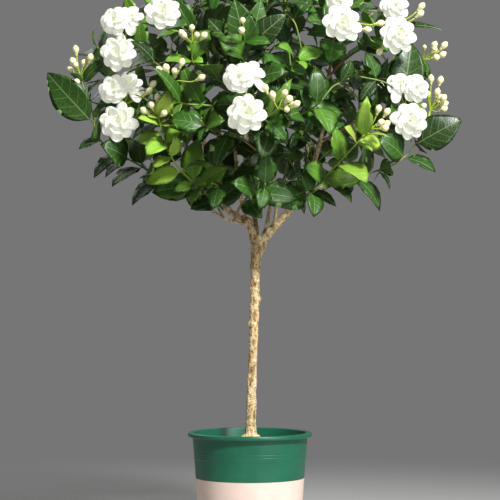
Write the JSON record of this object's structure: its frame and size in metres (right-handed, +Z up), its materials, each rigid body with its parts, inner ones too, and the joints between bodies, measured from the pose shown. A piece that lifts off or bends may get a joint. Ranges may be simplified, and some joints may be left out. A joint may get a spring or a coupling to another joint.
{
  "type": "potted jasmine",
  "caption": "Small jasmine tree with double white blooms, buds and glossy leaves on a woody stem, in a green nursery pot with soil.",
  "frame": {"origin": "middle of the pot's flat base, where it rests", "axes": "+Z up along the pot's axis, +X to the right and -Y towards the viewer of the picture"},
  "size_m": [0.6194, 0.4978, 0.9505],
  "materials": {
    "pot": "satin",
    "soil": "crumbly matte",
    "bark": "matte",
    "leaf": "semi gloss",
    "petal": "matte"
  },
  "bodies": {
    "root": {"bloom_back_cluster_open": "petal", "bloom_back_cluster_rosette": "petal", "bloom_back_left_open": "petal", "bloom_back_right_open": "petal", "bloom_centre_cluster_open": "petal", "bloom_centre_cluster_rosette": "petal", "bloom_centre_cluster_side": "petal", "bloom_crest_right_open": "petal", "bloom_left_cluster_open": "petal", "bloom_left_cluster_rosette": "petal", "bloom_left_cluster_side": "petal", "bloom_left_crest_open": "petal", "bloom_left_high_cluster_open": "petal", "bloom_left_high_cluster_rosette": "petal", "bloom_left_high_cluster_side": "petal", "bloom_right_cluster_open": "petal", "bloom_right_cluster_rosette": "petal", "bloom_right_cluster_side": "petal", "bloom_right_high_pair_open": "petal", "bloom_right_high_pair_rosette": "petal", "bloom_right_top_cluster_open": "petal", "bloom_right_top_cluster_rosette": "petal", "bloom_top_left_back_open": "petal", "bloom_top_right_back_open": "petal", "pot": "pot", "shoot_back_cluster": "leaf", "shoot_back_left": "leaf", "shoot_back_low_left": "leaf", "shoot_back_low_right": "leaf", "shoot_back_right": "leaf", "shoot_centre_buds": "leaf", "shoot_centre_cluster": "leaf", "shoot_crest_right": "leaf", "shoot_high_centre": "leaf", "shoot_high_right": "leaf", "shoot_left_buds_high": "leaf", "shoot_left_buds_mid": "leaf", "shoot_left_cluster": "leaf", "shoot_left_crest": "leaf", "shoot_left_high_cluster": "leaf", "shoot_low_left": "leaf", "shoot_low_mid": "leaf", "shoot_low_mid_left": "leaf", "shoot_low_mid_right": "leaf", "shoot_low_right": "leaf", "shoot_mid_left": "leaf", "shoot_mid_right": "leaf", "shoot_right_buds": "leaf", "shoot_right_cluster": "leaf", "shoot_right_high_pair": "leaf", "shoot_right_top_cluster": "leaf", "shoot_side_left": "leaf", "shoot_side_right": "leaf", "shoot_top": "leaf", "shoot_top_left_back": "leaf", "shoot_top_right_back": "leaf", "shoot_young_left": "leaf", "shoot_young_right": "leaf", "soil": "soil", "trunk": "bark"}
  },
  "joints": []
}
